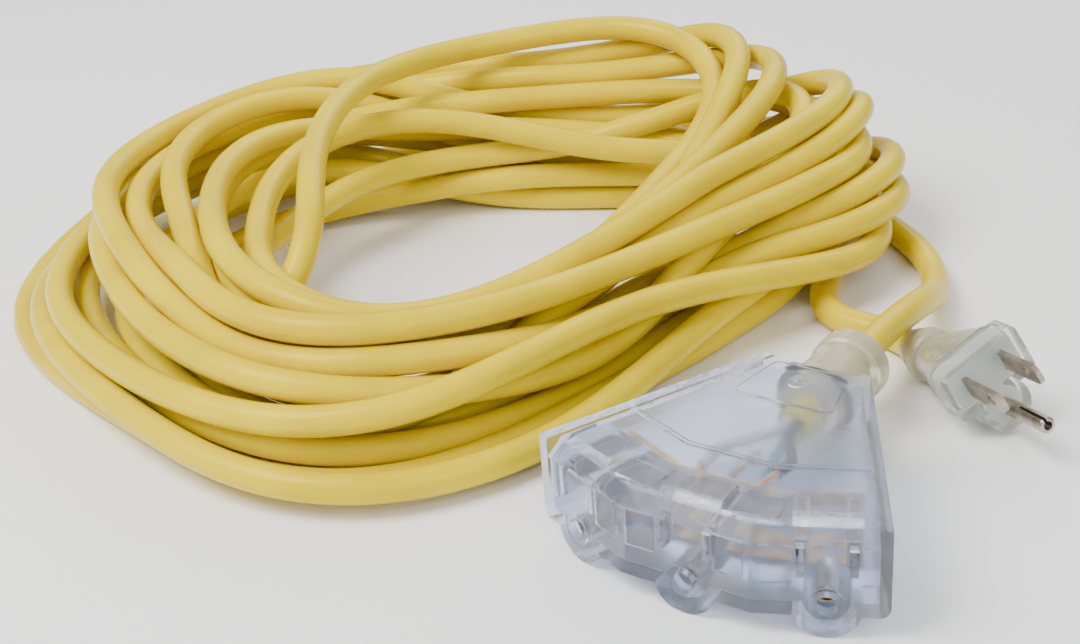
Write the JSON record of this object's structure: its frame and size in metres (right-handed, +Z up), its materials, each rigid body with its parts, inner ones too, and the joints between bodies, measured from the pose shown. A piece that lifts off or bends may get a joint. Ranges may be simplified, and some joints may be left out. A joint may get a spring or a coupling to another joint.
{
  "type": "extension cord",
  "caption": "Yellow grounded extension cord in a loose coil, with a clear fan-shaped triple outlet tap at one end and a clear three-prong plug at the other.",
  "frame": {"origin": "on the floor, under the middle of the tap housing's plan", "axes": "+Z up; +X to the right along the middle facet, seen from the outlets; -Y is the way the middle outlet faces and +Y the way the cord leaves the tap"},
  "size_m": [0.3736, 0.2869, 0.0621],
  "materials": {
    "clear_pvc": "clear flexible moulded PVC with a faint blue-grey tint, glossy and slightly cloudy",
    "carrier_clear": "clear rigid moulding, slightly cloudy, seen through the housing",
    "plug_clear_pvc": "clear flexible moulded PVC with a faint yellow-green tint, glossy",
    "bridge_plastic": "rigid translucent moulding that holds the blades",
    "contact_brass": "stamped sheet brass, plain, lightly dulled",
    "copper_strand": "bundle of fine bare copper wire, twisted",
    "blade_metal": "nickel-plated brass, plain, brownish grey",
    "tinned_wire": "thin tinned wire",
    "lamp_clear": "small clear lamp body",
    "resistor_body": "plain coated body",
    "insulation_black": "smooth PVC insulation",
    "insulation_white": "smooth PVC insulation",
    "insulation_green": "smooth PVC insulation",
    "relief_pvc": "clear flexible moulded PVC over the yellow jacket, glossy",
    "jacket_yellow": "smooth glossy yellow PVC jacket"
  },
  "bodies": {
    "root": {"contact_carrier": "carrier_clear", "cord_coil": "jacket_yellow", "cord_plug_run": "jacket_yellow", "cord_tap_run": "jacket_yellow", "ground_busbar": "contact_brass", "ground_strands": "copper_strand", "ground_wire": "insulation_green", "left_ground_contact": "contact_brass", "left_line_contact": "contact_brass", "left_neutral_contact": "contact_brass", "line_busbar": "contact_brass", "line_strands": "copper_strand", "line_wire": "insulation_black", "middle_ground_contact": "contact_brass", "middle_line_contact": "contact_brass", "middle_neutral_contact": "contact_brass", "neutral_busbar": "contact_brass", "neutral_strands": "copper_strand", "neutral_wire": "insulation_white", "plug_bridge": "bridge_plastic", "plug_ground_pin": "blade_metal", "plug_ground_wire": "insulation_green", "plug_line_blade": "blade_metal", "plug_line_wire": "insulation_black", "plug_neutral_blade": "blade_metal", "plug_neutral_wire": "insulation_white", "plug_sheath_end": "jacket_yellow", "plug_shell": "plug_clear_pvc", "plug_strain_relief": "relief_pvc", "right_ground_contact": "contact_brass", "right_line_contact": "contact_brass", "right_neutral_contact": "contact_brass", "tap_lamp": "lamp_clear", "tap_lamp_line_lead": "tinned_wire", "tap_lamp_neutral_lead": "tinned_wire", "tap_lamp_resistor": "resistor_body", "tap_sheath_end": "jacket_yellow", "tap_shell": "clear_pvc", "tap_strain_relief": "relief_pvc"}
  },
  "joints": []
}
